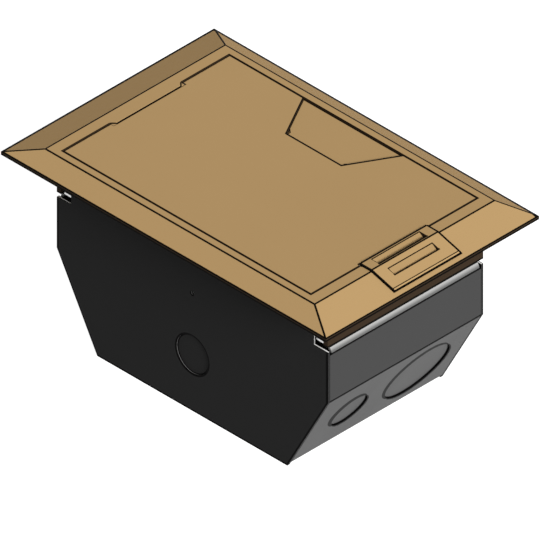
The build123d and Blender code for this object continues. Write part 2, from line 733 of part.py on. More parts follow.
# Lid: a flat plate with a round rear edge, a pocket for the pull flap and lugs for the door
lug_centre = (door_width - door_lug_width) / 2
with BuildPart() as lid:
    with BuildSketch(Plane.XY.offset(lid_bottom)):
        Rectangle(lid_length, lid_width)
    extrude(amount=lid_thickness)
    # Rear edge, round about the hinge axis
    with BuildSketch(Plane.XZ):
        with Locations((hinge_x, hinge_z)):
            Rectangle(2 * lid_thickness, 4 * lid_thickness, align=(Align.MAX, Align.CENTER))
            Circle(hinge_depth, mode=Mode.SUBTRACT)
    extrude(amount=lid_width, both=True, mode=Mode.SUBTRACT)
    # Notch round the knuckle block
    with BuildSketch(Plane.XY.offset(lid_bottom)):
        with Locations((knuckle_nose_x + lid_gap, 0)):
            Rectangle(
                4 * lid_thickness,
                knuckle_root_length + 2 * lid_gap,
                align=(Align.MAX, Align.CENTER),
            )
    extrude(amount=lid_thickness, mode=Mode.SUBTRACT)
    with BuildSketch(Plane.XZ):
        with Locations((hinge_x, hinge_z)):
            Circle(hinge_pin_diameter / 2 + pin_fit)
    extrude(amount=hinge_pin_length / 2 + lid_gap, both=True, mode=Mode.SUBTRACT)
    # Front edge cut back behind the door's barrel, with a lug at each end of it
    with BuildSketch(Plane.XY.offset(lid_bottom)):
        with Locations((lid_cut_x, 0)):
            Rectangle(lid_length, door_width + 2 * door_back_gap, align=(Align.MIN, Align.CENTER))
    extrude(amount=lid_thickness, mode=Mode.SUBTRACT)
    for side in (-1, 1):
        with BuildSketch(Plane.XZ.offset(-side * (lug_centre - door_lug_width / 2))):
            with Locations((door_x, door_z)):
                Circle(door_lug_radius)
            with Locations((lid_cut_x, lid_bottom)):
                web_height = door_z - door_lug_radius / 2 - lid_bottom
                Rectangle(door_x - lid_cut_x, web_height, align=(Align.MIN, Align.MIN))
            with Locations((door_x, door_z)):
                Circle(door_pin_diameter / 2, mode=Mode.SUBTRACT)
        extrude(amount=-side * door_lug_width)
    # Pocket for the pull flap, and a slot under its free edge for a fingertip
    with BuildSketch(Plane.XY.offset(top_level)):
        edge_y = lid_width / 2 + lid_gap
        Polygon(
            (-flap_half(flap_root_y), flap_root_y),
            (flap_half(flap_root_y), flap_root_y),
            (flap_half(edge_y), edge_y),
            (-flap_half(edge_y), edge_y),
            align=None,
        )
    extrude(amount=-(flap_sink + flap_thickness + door_seat), mode=Mode.SUBTRACT)
    with BuildSketch(Plane.XY.offset(lid_bottom)):
        with Locations((0, lid_width / 2 - finger_slot_width)):
            slot_length = flap_edge_length - 2 * finger_slot_width
            Rectangle(slot_length, 2 * finger_slot_width, align=(Align.CENTER, Align.MIN))
    extrude(amount=lid_thickness, mode=Mode.SUBTRACT)
    with BuildSketch(Plane.YZ):
        with Locations((flap_axis_y, flap_axis_z)):
            Circle(flap_pin_diameter / 2)
    extrude(amount=flap_root_length / 2 + flap_relief - 1, both=True, mode=Mode.SUBTRACT)
    # Blind holes for the stiffener's rivets
    with BuildSketch(Plane.XY.offset(lid_bottom)):
        with GridLocations(stiffener_length - 20, rib_pitch, 2, 4):
            Circle(rivet_diameter / 2)
    extrude(amount=lid_thickness / 2, mode=Mode.SUBTRACT)
lid.part.label = "lid"
export_step(lid.part, "parts/lid.step")

# Pull flap, with a round root and clipped root corners
with BuildPart() as pull_flap:
    root_half = flap_root_length / 2 - 0.8
    shoulder_y = flap_axis_y + flap_relief
    edge_y = opening_width / 2 - flap_edge_gap
    with BuildSketch(Plane.XY.offset(flap_top)):
        Polygon(
            *mirrored_x(
                [
                    (root_half, flap_axis_y),
                    (root_half, flap_axis_y + 2.5),
                    (flap_half(shoulder_y) - flap_side_gap, shoulder_y),
                    (flap_half(edge_y) - flap_side_gap, edge_y),
                ]
            ),
            align=None,
        )
    extrude(amount=-flap_thickness)
    with BuildSketch(Plane.YZ):
        with Locations((flap_axis_y, flap_axis_z)):
            Circle(flap_thickness / 2)
    extrude(amount=root_half, both=True)
    with BuildSketch(Plane.YZ):
        with Locations((flap_axis_y, flap_axis_z)):
            Circle(flap_pin_diameter / 2 + pin_fit)
    extrude(amount=root_half, both=True, mode=Mode.SUBTRACT)
pull_flap.part.label = "pull_flap"
export_step(pull_flap.part, "parts/pull_flap.step")

with BuildPart() as pull_flap_pin:
    with BuildSketch(Plane.YZ):
        with Locations((flap_axis_y, flap_axis_z)):
            Circle(flap_pin_diameter / 2)
    extrude(amount=flap_root_length / 2 + flap_relief - 1, both=True)
pull_flap_pin.part.label = "pull_flap_pin"
export_step(pull_flap_pin.part, "parts/pull_flap_pin.step")

# Lid stiffener: a pressed sheet with hollow ribs that hang below the lid
rib_ys = [rib_pitch * (index - 1) for index in range(3)]
with BuildPart() as lid_stiffener:
    with BuildSketch(Plane.YZ.offset(-stiffener_length / 2)):
        with Locations((0, lid_bottom)):
            Rectangle(stiffener_width, stiffener_sheet, align=(Align.CENTER, Align.MAX))
        for rib_y in rib_ys:
            with Locations((rib_y, lid_bottom)):
                Rectangle(rib_width, rib_depth, align=(Align.CENTER, Align.MAX))
        for rib_y in rib_ys:
            with Locations((rib_y, lid_bottom)):
                hollow = rib_width - 2 * stiffener_sheet
                Rectangle(
                    hollow,
                    rib_depth - stiffener_sheet,
                    align=(Align.CENTER, Align.MAX),
                    mode=Mode.SUBTRACT,
                )
    extrude(amount=stiffener_length)
    with BuildSketch(Plane.XY.offset(lid_bottom)):
        with GridLocations(stiffener_length - 20, rib_pitch, 2, 4):
            Circle(rivet_diameter / 2)
    extrude(amount=-2 * stiffener_sheet, mode=Mode.SUBTRACT)
lid_stiffener.part.label = "lid_stiffener"
export_step(lid_stiffener.part, "parts/lid_stiffener.step")

with BuildPart() as stiffener_rivets:
    with BuildSketch(Plane.XY.offset(lid_bottom - stiffener_sheet)):
        with GridLocations(stiffener_length - 20, rib_pitch, 2, 4):
            Circle(rivet_diameter * 0.8)
    extrude(amount=-rivet_diameter * 0.4)
    with BuildSketch(Plane.XY.offset(lid_bottom - stiffener_sheet)):
        with GridLocations(stiffener_length - 20, rib_pitch, 2, 4):
            Circle(rivet_diameter / 2)
    extrude(amount=stiffener_sheet + lid_thickness / 2)
stiffener_rivets.part.label = "stiffener_rivets"
export_step(stiffener_rivets.part, "parts/stiffener_rivets.step")

# Cable door: a sheet that follows the border and the bevel, with two finger ramps
fold_x = border_length / 2


def over_border(x, height):
    """Point at a height over the flat border."""
    return (x, top_level + height)


def over_bevel(x, height):
    """Point at a height over the bevel, measured square to it, from the bevel's point at x."""
    drop = (x - fold_x) * tan(bevel_angle)
    return (x + height * sin(bevel_angle), top_level - drop + height * cos(bevel_angle))


def at_fold(height):
    """Corner over the fold between border and bevel."""
    return (fold_x + height * tan(bevel_angle / 2), top_level + height)


def ramp_sections(base, over, depth):
    """Outside and inside of a finger ramp's section; over gives a point at a height."""
    start, end = base
    outer = [
        over(start - ramp_wall, door_seat),
        over(end + ramp_wall, door_seat),
        over(end + ramp_wall, door_top - depth - ramp_wall),
        over(end - ramp_wall, door_top - depth - ramp_wall),
    ]
    inner = [
        over(start, door_top + door_seat),
        over(start, door_top),
        over(end, door_top - depth),
        over(end, door_top + door_seat),
    ]
    return outer, inner


border_ramp_x = opening_length / 2 + border_ramp_start
bevel_ramp_x = fold_x + bevel_ramp_start
border_ramp = (border_ramp_x, border_ramp_x + border_ramp_width)
bevel_ramp = (bevel_ramp_x, bevel_ramp_x + bevel_ramp_width)
ramps = [
    (*ramp_sections(border_ramp, over_border, border_ramp_depth), border_ramp_length),
    (*ramp_sections(bevel_ramp, over_bevel, bevel_ramp_depth), bevel_ramp_length),
]

with BuildPart() as cable_door:
    with BuildSketch(Plane.XZ):
        Polygon(
            over_border(door_x, door_seat),
            at_fold(door_seat),
            over_bevel(door_end_x, door_seat),
            over_bevel(door_end_x, door_top - door_sheet / 2),
            over_bevel(door_end_x - door_edge_chamfer, door_top),
            at_fold(door_top),
            over_border(door_x, door_top),
            align=None,
        )
        with Locations((door_x, door_z)):
            Circle(door_barrel_radius)
    extrude(amount=door_width / 2, both=True)
    for outer, inner, length in ramps:
        with BuildSketch(Plane.XZ):
            Polygon(*outer, align=None)
        extrude(amount=length / 2 + ramp_wall, both=True)
    for outer, inner, length in ramps:
        with BuildSketch(Plane.XZ):
            Polygon(*inner, align=None)
        extrude(amount=length / 2, both=True, mode=Mode.SUBTRACT)
    # Room for the lid's lugs at both ends of the barrel
    for side in (-1, 1):
        with BuildSketch(Plane.XZ.offset(-side * (door_width / 2 - door_lug_width - door_seat))):
            with Locations((door_x, door_z)):
                Circle(door_lug_radius + door_seat)
                Rectangle(2 * door_barrel_radius, 4 * door_barrel_radius, align=(Align.MAX, Align.CENTER))
        extrude(amount=-side * 2 * door_lug_width, mode=Mode.SUBTRACT)
    with BuildSketch(Plane.XZ):
        with Locations((door_x, door_z)):
            Circle(door_pin_diameter / 2 + pin_fit)
    extrude(amount=door_width / 2, both=True, mode=Mode.SUBTRACT)
cable_door.part.label = "cable_door"
export_step(cable_door.part, "parts/cable_door.step")

with BuildPart() as cable_door_pins:
    for side in (-1, 1):
        with BuildSketch(Plane.XZ.offset(-side * (door_width / 2 - door_pin_length))):
            with Locations((door_x, door_z)):
                Circle(door_pin_diameter / 2)
        extrude(amount=-side * door_pin_length)
cable_door_pins.part.label = "cable_door_pins"
export_step(cable_door_pins.part, "parts/cable_door_pins.step")
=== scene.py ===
"""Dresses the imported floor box: finishes for every part, turned screws and rivets, studio."""

from math import atan2, cos, hypot, radians, sin, sqrt

import bpy
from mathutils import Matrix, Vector


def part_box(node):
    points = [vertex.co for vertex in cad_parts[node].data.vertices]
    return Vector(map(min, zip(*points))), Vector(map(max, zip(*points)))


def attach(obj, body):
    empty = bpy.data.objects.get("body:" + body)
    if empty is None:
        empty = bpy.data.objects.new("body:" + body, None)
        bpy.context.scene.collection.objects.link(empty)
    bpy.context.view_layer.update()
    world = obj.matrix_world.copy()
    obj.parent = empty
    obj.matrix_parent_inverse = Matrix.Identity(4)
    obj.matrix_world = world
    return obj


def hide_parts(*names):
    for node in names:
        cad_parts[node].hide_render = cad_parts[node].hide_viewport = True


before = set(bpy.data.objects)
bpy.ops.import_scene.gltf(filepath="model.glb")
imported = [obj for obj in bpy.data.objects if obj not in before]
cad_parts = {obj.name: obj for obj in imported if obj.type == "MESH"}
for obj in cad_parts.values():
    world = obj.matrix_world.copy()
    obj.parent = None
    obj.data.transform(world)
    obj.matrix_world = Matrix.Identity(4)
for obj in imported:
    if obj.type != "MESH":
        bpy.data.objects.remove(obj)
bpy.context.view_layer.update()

bl_info = {
    "name": "Raised floor box",
    "version": (1, 0, 0),
    "blender": (4, 5, 0),
    "location": "3D View > Sidebar > Floor box",
    "description": "Finishes, turned fasteners and studio for a raised floor service box",
    "category": "Object",
}

MM = 0.001

# Levels and places of the box, read from its parts
FRAME_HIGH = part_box("trim_frame")[1]
DOOR_LOW, DOOR_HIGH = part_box("cable_door")
STIFFENER_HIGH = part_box("lid_stiffener")[1]
WRAP_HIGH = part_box("box_wrap")[1]
PLATE_LOW, PLATE_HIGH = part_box("side_plate_back")
TRAY_LOW, TRAY_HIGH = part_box("device_tray")

# Plan of the trim frame, as half lengths: outer edge, fold of the bevel, opening
FLANGE = (FRAME_HIGH[0], FRAME_HIGH[1])
BORDER = (FLANGE[0] - 30.0 * MM, FLANGE[1] - 17.9 * MM)
OPENING = (BORDER[0] - 10.7 * MM, BORDER[1] - 6.7 * MM)

# The flange's rim stands on the side plates' top edge
RIM_LOW = PLATE_HIGH[2]
RIM_HEIGHT = 3.0 * MM

# Knuckle block of the lid hinge: its nose, half its length at nose and root, its end of the box
KNUCKLE_NOSE_X = -129.6 * MM
KNUCKLE_NOSE = 34.0 * MM
KNUCKLE_ROOT = 38.0 * MM
HINGE_END_X = -125.0 * MM

# Levels above which the knuckle and the opening's edge carry a line
KNUCKLE_TOP = 175.0 * MM
OPENING_TOP = 176.5 * MM

# Finger ramps of the cable door: near end, far end, half length
DOOR_RAMPS = (
    (OPENING[0] + 0.9 * MM, OPENING[0] + 8.5 * MM, 25.6 * MM),
    (BORDER[0] + 6.0 * MM, BORDER[0] + 12.6 * MM, 23.6 * MM),
)

# Pocket of the pull flap: half length and place of its root, widening of its sides
FLAP_ROOT = (29.6 * MM, 47.4 * MM)
FLAP_TAPER = 0.5639

# Corner notch, middle of the sheet and divider's hole of a side plate
NOTCH_X = 130.1 * MM
NOTCH_Z = 126.5 * MM
PLATE_MIDDLE_Y = (PLATE_LOW[1] + PLATE_HIGH[1]) / 2
HOLE_Z = 109.3 * MM

# Pry-out discs: height and radius in the side plates, middles and radii in the slopes
DISC_SIDE = (52.1 * MM, 17.45 * MM)
SLOPE_NORMAL = (0.8767, 0.4809)
SLOPE_DISC_X = 123.75 * MM
SLOPE_DISC_Z = 39.65 * MM
SLOPE_DISCS = ((34.4 * MM, 31.35 * MM, 1), (38.5 * MM, 17.45 * MM, -1))

# Device tray's right incline, and the middle of a device plate's lower face on it
TRAY_SHEET = 1.5 * MM
TRAY_RUN = 65.0 * MM
TRAY_RISE = TRAY_HIGH[2] - TRAY_LOW[2] - TRAY_SHEET
TRAY_TILT = atan2(TRAY_RISE, TRAY_RUN)
DEVICE_MIDDLE = (52.0 * MM + TRAY_RUN / 2, TRAY_HIGH[2] - TRAY_RISE / 2)
DEVICE_SHEET = 2.0 * MM
DEVICE_SCREW = (27.0 * MM, 61.0 * MM)

# Lid stiffener's sheet; where the middle of a shank lies, as a share of its length, a little
# short of half so that the shank starts inside the head; rivets in a row
STIFFENER_SHEET = 1.5 * MM
SHANK_MIDDLE = -0.4995
RIVETS_IN_ROW = 4

# Edges of a fastener that bend by more than this stay sharp
SHARP_ANGLE = radians(40.0)

# Painted outlines: half widths of the lines
LIP_LINE = 0.4 * MM
THIN_LINE = 0.5 * MM
GAP_LINE = 0.6 * MM
FOLD_LINE = 0.8 * MM
WRAP_FOOT_LINE = 0.9 * MM
WRAP_FOLD_LINE = 1.1 * MM
SIDE_DISC_LINE = 1.2 * MM
LEG_FOOT_LINE = 1.5 * MM
RIM_LINE = 1.7 * MM

# Outline of the pull flap's pocket: half width, and what is added to it right of a place
POCKET_LINE = 1.0 * MM
POCKET_EXTRA = 0.7 * MM
POCKET_EXTRA_X = -29.0 * MM

# Painted outlines: how far the bands reach in from an edge, more where it is seen at a slant
FLANGE_BAND = 0.8 * MM
FLANGE_LEFT_BAND = 2.5 * MM
FLANGE_BACK_BAND = 3.3 * MM
LID_BAND = 1.4 * MM
DOOR_SIDE_BAND = 1.6 * MM
DOOR_FAR_BAND = 1.1 * MM
DOOR_HINGE_BAND = 2.6 * MM
DOOR_LIP = 2.8 * MM
PLATE_END_BAND = 2.0 * MM
PLATE_FOOT_BAND = 1.5 * MM
PLATE_SLOPE_BAND = 1.3 * MM
PLATE_CUT_BAND = 0.8 * MM
WRAP_BOTTOM_BAND = 2.4 * MM

# Openings of a side plate: half length and foot of the part that holds them, reach of the hole
PLATE_HOLLOW = (20.0 * MM, 32.0 * MM)
HOLE_REACH = 4.0 * MM

# Body wrap: half height of the painted shading at the fold, and heights over the foot of the
# rounded top where its painted highlight starts and is full, and of its upper line, a painted
# shadow under the frame's leg
FOLD_SHADE = 1.2 * MM
BEND_SHINE = (1.4 * MM, 6.0 * MM)
BEND_LINE_HIGH = 5.6 * MM

# Outline of a slope's disc: least half width, growth across the disc, and what its upper
# side has on top, where the slope's lip hides the inner part of the line
DISC_LINE = 0.7 * MM
DISC_GROWTH = 1.8 * MM
DISC_UPPER_GROWTH = 0.8 * MM
DISC_UPPER_SHIFT = 2.6 * MM

# Studio: floor's half length, its glow where it is seen, lamp's side, camera's distance
FLOOR_HALF = 6.0
FLOOR_GLOW = 0.95
KEY_SIDE = Vector((1.25, -0.26, 0.68))
CAMERA_DISTANCE = 2.0
WHITE = (1.0, 1.0, 1.0, 1.0)


def scaled(colour, factor):
    """The same colour, lighter or darker."""
    return tuple(value * factor for value in colour)


class Value:
    """A socket of a material, with the arithmetic that a finish needs."""

    def __init__(self, nodes, socket):
        self.nodes = nodes
        self.socket = socket

    def math(self, operation, *others):
        """A Math node on this value and any others."""
        return self.nodes.node(
            "ShaderNodeMath", {"operation": operation}, dict(enumerate([self, *others]))
        )

    def __add__(self, other):
        return self.math("ADD", other)

    __radd__ = __add__

    def __mul__(self, other):
        return self.math("MULTIPLY", other)

    __rmul__ = __mul__

    def __sub__(self, other):
        return self.math("SUBTRACT", other)

    def __rsub__(self, other):
        return (self * -1.0) + other

    def __truediv__(self, other):
        return self.math("DIVIDE", other)

    def __abs__(self):
        return self.math("ABSOLUTE")

    def at_least(self, other):
        return self.math("MAXIMUM", other)

    def clamped(self):
        return self.at_least(0.0).math("MINIMUM", 1.0)

    def ramp(self, low, high):
        """0 below low, 1 above high, smooth between."""
        return self.nodes.node(
            "ShaderNodeMapRange",
            {"interpolation_type": "SMOOTHSTEP"},
            {"Value": self, "From Min": low, "From Max": high},
        )

    def above(self, level, soft=0.3 * MM):
        """1 from a level upwards, 0 by soft under it."""
        return self.ramp(level - soft, level)

    def below(self, level, soft=0.3 * MM):
        """1 from a level downwards, 0 by soft over it."""
        return self.ramp(level + soft, level)


class ShaderNodes:
    """The nodes of a material or of the world."""

    def __init__(self, tree, output_kind):
        self.tree = tree
        self.tree.nodes.clear()
        self.output = self.tree.nodes.new(output_kind)

    def node(self, kind, settings, inputs, output=0):
        """Any node: its settings first, then the values or links of its sockets."""
        node = self.tree.nodes.new(kind)
        for key, value in settings.items():
            setattr(node, key, value)
        for key, value in inputs.items():
            socket = node.inputs[key]
            if isinstance(value, Value):
                self.tree.links.new(value.socket, socket)
            else:
                socket.default_value = value
        return Value(self, node.outputs[output])

    def show(self, shader):
        """Links a shader to the output."""
        self.tree.links.new(shader.socket, self.output.inputs["Surface"])


class Finish(ShaderNodes):
    """A procedural material, built from expressions on its sockets."""

    def __init__(self, name):
        self.material = bpy.data.materials.new(name)
        self.material.use_nodes = True
        super().__init__(self.material.node_tree, "ShaderNodeOutputMaterial")
        self.place = self.node("ShaderNodeTexCoord", {}, {}, "Object")
        self.facing = Value(self, self.place.socket.node.outputs["Normal"])

    def parts_of(self, vector):
        """The three parts of a vector socket."""
        split = self.node("ShaderNodeSeparateXYZ", {}, {"Vector": vector}).socket.node
        return [Value(self, split.outputs[index]) for index in range(3)]

    def level(self, upright=0.3, flat=0.4):
        """1 on faces that lie level, 0 on upright ones, by the upward part of their normal."""
        return abs(self.parts_of(self.facing)[2]).ramp(upright, flat)

    def noise(self, scale, detail=2.0, roughness=0.5, stretch=(1.0, 1.0, 1.0)):
        """Noise from 0 to 1 on the object's own coordinates, scale in waves per metre."""
        at = self.place
        if stretch != (1.0, 1.0, 1.0):
            at = self.node(
                "ShaderNodeVectorMath", {"operation": "MULTIPLY"}, {0: self.place, 1: stretch}
            )
        return self.node(
            "ShaderNodeTexNoise",
            {},
            {"Vector": at, "Scale": scale, "Detail": detail, "Roughness": roughness},
            "Fac",
        )

    def blend(self, factor, low, high):
        """Colour between low and high."""
        node = self.tree.nodes.new("ShaderNodeMix")
        node.data_type = "RGBA"
        node.clamp_factor = True
        for index, value in ((0, factor), (6, low), (7, high)):
            socket = node.inputs[index]
            if isinstance(value, Value):
                self.tree.links.new(value.socket, socket)
            elif isinstance(value, tuple):
                socket.default_value = (*value[:3], 1.0)
            else:
                socket.default_value = value
        return Value(self, node.outputs[2])

    def rounded(self, radius=0.3 * MM, samples=4):
        """The normal, rounded over at the edges."""
        return self.node("ShaderNodeBevel", {"samples": samples}, {"Radius": radius})

    def edge(self, line):
        """1 on a line along edges and folds, 0 on open faces."""
        flat = self.node("ShaderNodeNewGeometry", {}, {}, "True Normal")
        agree = self.node(
            "ShaderNodeVectorMath", {"operation": "DOT_PRODUCT"},
            {0: self.rounded(line, 8), 1: flat}, "Value",
        )
        return (1.0 - agree).ramp(0.0001, 0.0007)

    def line(self, distance, half, soft=0.2 * MM):
        """1 within half of the place where a distance is zero, 0 beyond it."""
        return abs(distance).ramp(half + soft, half - soft)

    def outside(self, half_x, half_y, middle=(0.0, 0.0)):
        """Distance outside a rectangle on the plan, negative inside it."""
        x, y = self.parts_of(self.place)[:2]
        return (abs(x - middle[0]) - half_x).at_least(abs(y - middle[1]) - half_y)

    def ring(self, middle, radius, half):
        """1 on the outline of a round disc."""
        away = self.node(
            "ShaderNodeVectorMath", {"operation": "DISTANCE"}, {0: self.place, 1: middle}, "Value"
        )
        return self.line(away - radius, half)

    def bump(self, height, distance, strength, normal):
        """The normal with fine relief on it."""
        return self.node(
            "ShaderNodeBump", {},
            {"Height": height, "Distance": distance, "Strength": strength, "Normal": normal},
        )

    def surface(self, **inputs):
        """Principled shader on the output."""
        self.show(self.node("ShaderNodeBsdfPrincipled", {}, inputs))
        return self.material


def dress(material, *nodes):
    """Gives CAD nodes their finish."""
    for name in nodes:
        mesh_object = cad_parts[name]
        if not mesh_object.material_slots:
            mesh_object.data.materials.append(material)
        for held in mesh_object.material_slots:
            held.material = material


def together(marks):
    """The strongest of several marks."""
    total = marks[0]
    for mark in marks[1:]:
        total = total.at_least(mark)
    return total


def frame_marks(finish):
    """Folds, mitres and edges of the trim frame, and the clipped corners of its knuckle."""
    x, y, high = finish.parts_of(finish.place)
    level = finish.level()
    upright = 1.0 - level
    over = finish.outside(*BORDER)
    rim = finish.outside(*FLANGE)
    bevel = (FLANGE[0] - BORDER[0], FLANGE[1] - BORDER[1])
    slant = hypot(*bevel)
    mitre = (
        (abs(x) - BORDER[0]) * (bevel[1] / slant) - (abs(y) - BORDER[1]) * (bevel[0] / slant)
    )
    reach = (KNUCKLE_NOSE_X + OPENING[0], KNUCKLE_ROOT - KNUCKLE_NOSE)
    clip = hypot(*reach)
    corner = (
        (x - KNUCKLE_NOSE_X) * (reach[1] / clip) + (abs(y) - KNUCKLE_NOSE) * (reach[0] / clip)
    )
    end = abs(y).below(KNUCKLE_ROOT, 0.2 * MM) * x.below(HINGE_END_X, 5.0 * MM)
    knuckle = end * x.above(-OPENING[0]) * high.above(KNUCKLE_TOP, 1.0 * MM)
    sides = finish.line(corner, GAP_LINE) * abs(y).above(KNUCKLE_NOSE, 0.4 * MM)
    tip = abs(y).below(KNUCKLE_NOSE - 0.2 * MM, 0.2 * MM)
    nose = x.above(KNUCKLE_NOSE_X - 0.8 * MM, 0.4 * MM) * tip
    gap = finish.line(finish.outside(*OPENING), GAP_LINE, 0.1 * MM)
    rim_top = finish.line(high - (RIM_LOW + RIM_HEIGHT), THIN_LINE)
    return together([
        finish.line(over, FOLD_LINE) * level,
        finish.line(mitre, FOLD_LINE) * over.above(0.2 * MM, 0.2 * MM) * level,
        rim.above(-FLANGE_BAND, 0.4 * MM) * level,
        x.below(FLANGE_LEFT_BAND - FLANGE[0], 0.4 * MM) * level,
        y.above(FLANGE[1] - FLANGE_BACK_BAND, 0.4 * MM) * level,
        finish.line(high - RIM_LOW, RIM_LINE) * upright,
        rim_top * upright * rim.above(-1.0 * MM, 1.0 * MM),
        finish.line(high - WRAP_HIGH[2], LEG_FOOT_LINE) * upright,
        gap * level * high.above(OPENING_TOP, 0.5 * MM) * (1.0 - end),
        sides * knuckle,
        nose * knuckle,
    ])


def lid_marks(finish):
    """Edges of the lid, against the frame and round the pull flap's pocket."""
    x, y, high = finish.parts_of(finish.place)
    side = (abs(x) - FLAP_ROOT[0] - (y - FLAP_ROOT[1]) * FLAP_TAPER) / hypot(1.0, FLAP_TAPER)
    pocket = side.at_least(FLAP_ROOT[1] - y)
    half = x.above(POCKET_EXTRA_X, 2.0 * MM) * POCKET_EXTRA + POCKET_LINE
    edges = finish.outside(*OPENING).above(-LID_BAND).at_least(finish.line(pocket, half))
    return edges * finish.level() * high.above(FRAME_HIGH[2] - 1.0 * MM, 0.4 * MM)


def door_marks(finish):
    """Edges, fold and finger ramps of the cable door."""
    x, y = finish.parts_of(finish.place)[:2]
    level = finish.level()
    marks = [
        abs(y).above(DOOR_HIGH[1] - DOOR_SIDE_BAND),
        x.above(DOOR_HIGH[0] - DOOR_FAR_BAND),
        x.below(DOOR_LOW[0] + DOOR_HINGE_BAND),
        finish.line(x - (DOOR_HIGH[0] - DOOR_LIP), LIP_LINE) * level,
        finish.line(x - (BORDER[0] + 0.2 * MM), FOLD_LINE) * level,
    ]
    for near, far, half in DOOR_RAMPS:
        edge = finish.outside((far - near) / 2, half, ((near + far) / 2, 0.0))
        foot = finish.line(x - (far + 0.6 * MM), FOLD_LINE)
        marks.append(finish.line(edge, THIN_LINE) * level)
        marks.append(foot * (abs(y) - half).below(0.8 * MM, 0.2 * MM) * level)
        # Painted shade: the inside of each finger ramp a little darker
        marks.append(edge.below(-0.2 * MM, 0.2 * MM) * 0.2)
    return together(marks)


def powder_coat(name, colour, side_shade, marks=None):
    """Fine-textured paint, with painted shade on upright faces and thin dark lines where marks are.
    """
    finish = Finish(name)
    cloud = finish.noise(14.0, 3.0)
    grain = finish.noise(2600.0, 2.0, 0.6)
    base = finish.blend(cloud.ramp(0.3, 0.75) * 0.2, colour, scaled(colour, 0.93))
    base = finish.blend(grain.ramp(0.62, 0.8) * 0.2, base, scaled(colour, 1.25))
    # Painted shade: the upright faces take the darker side colour
    base = finish.blend(1.0 - finish.level(0.15, 0.35), base, side_shade)
    if marks:
        base = finish.blend(marks(finish), base, scaled(colour, 0.004))
    return finish.surface(**{
        "Base Color": base,
        "Roughness": 0.44 + grain * 0.16,
        "Specular IOR Level": 0.02,
        "Normal": finish.bump(grain, 0.02 * MM, 0.25, finish.rounded()),
    })


def plate_outline(finish):
    """Edges of a side plate's broad face and the outline of its disc."""
    x, y, high = finish.parts_of(finish.place)
    slant = (abs(x) - SLOPE_DISC_X) * SLOPE_NORMAL[0] - (high - SLOPE_DISC_Z) * SLOPE_NORMAL[1]
    disc_height, disc_radius = DISC_SIDE
    rings = [
        finish.ring((0.0, side * PLATE_HIGH[1], disc_height), disc_radius, SIDE_DISC_LINE)
        for side in (-1, 1)
    ]
    return together([
        slant.above(-PLATE_SLOPE_BAND),
        abs(x).above(PLATE_HIGH[0] - PLATE_END_BAND),
        high.below(PLATE_FOOT_BAND),
        *rings,
    ])


def shaded_sheet(name, colour, end_colour, edge_colour, top_highlight):
    """Near-black sheet, as painted shade: light cut edges in the notches, painted light where they
    face up.
    """
    finish = Finish(name)
    x, y, high = finish.parts_of(finish.place)
    sideways, up = finish.parts_of(finish.facing)[1:]
    broad = abs(sideways).ramp(0.55, 0.8)
    smear = finish.noise(9.0, 4.0, 0.6, (1.0, 1.0, 2.5))
    grain = finish.noise(1900.0, 2.0)
    # Broad faces: near-black as painted shade, with a random smear and grain
    shaded_face = finish.blend(smear.ramp(0.35, 0.7) * 0.4, colour, scaled(colour, 1.2))
    shaded_face = finish.blend(grain.ramp(0.6, 0.85) * 0.25, shaded_face, scaled(colour, 1.6))

    # Cut edges: dark in the notches but for their inner corner, painted light on top, dimmed in the
    # openings and the hole
    in_notch = high.above(NOTCH_Z, 1.0 * MM)
    dark = scaled(colour, 0.3)
    cut = finish.blend(in_notch, end_colour, dark)
    cut = finish.blend(finish.line(abs(x) - NOTCH_X, 1.0 * MM) * in_notch, cut, edge_colour)
    cut = finish.blend(up.ramp(0.05, 0.5) * in_notch, cut, top_highlight)
    # Painted light, dimmed: the cut edges in the disc's opening and the hole take a dim grey
    hollow = finish.line(x, PLATE_HOLLOW[0]) * high.above(PLATE_HOLLOW[1], 2.0 * MM)
    cut = finish.blend(hollow, cut, scaled(top_highlight, 0.12))
    hole = finish.line(high - HOLE_Z, HOLE_REACH) * finish.line(x, HOLE_REACH)
    core = finish.line(abs(y) - PLATE_MIDDLE_Y, 0.5 * MM).at_least(hole)
    cut = finish.blend(core, dark, cut)

    black = scaled(colour, 0.05)
    base = finish.blend(broad, cut, shaded_face)
    base = finish.blend(plate_outline(finish) * broad, base, black)
    outer = abs(y).above(PLATE_HIGH[1] - PLATE_CUT_BAND, 0.2 * MM)
    base = finish.blend(outer * (1.0 - in_notch) * (1.0 - broad), base, black)
    return finish.surface(**{
        "Base Color": base,
        "Roughness": 0.46 + smear * 0.14,
        "Specular IOR Level": 0.02,
        "Normal": finish.bump(grain, 0.01 * MM, 0.5, finish.rounded()),
    })


def slope_rings(finish):
    """Outlines of the slopes' discs, wider across than along, as a slanting view needs."""
    y, high = finish.parts_of(finish.place)[1:]
    rings = []
    for offset, radius, turn in SLOPE_DISCS:
        for side in (-1, 1):
            middle = (side * SLOPE_DISC_X, side * turn * offset, SLOPE_DISC_Z)
            rise = (high - SLOPE_DISC_Z) / SLOPE_NORMAL[0]
            lean = (rise - (y - middle[1]) * side) * (sqrt(0.5) / radius)
            upper = lean.at_least(0.0)
            half = abs(lean) * DISC_GROWTH + upper * DISC_UPPER_GROWTH + DISC_LINE
            rings.append(finish.ring(middle, upper * DISC_UPPER_SHIFT + radius, half))
    return together(rings)


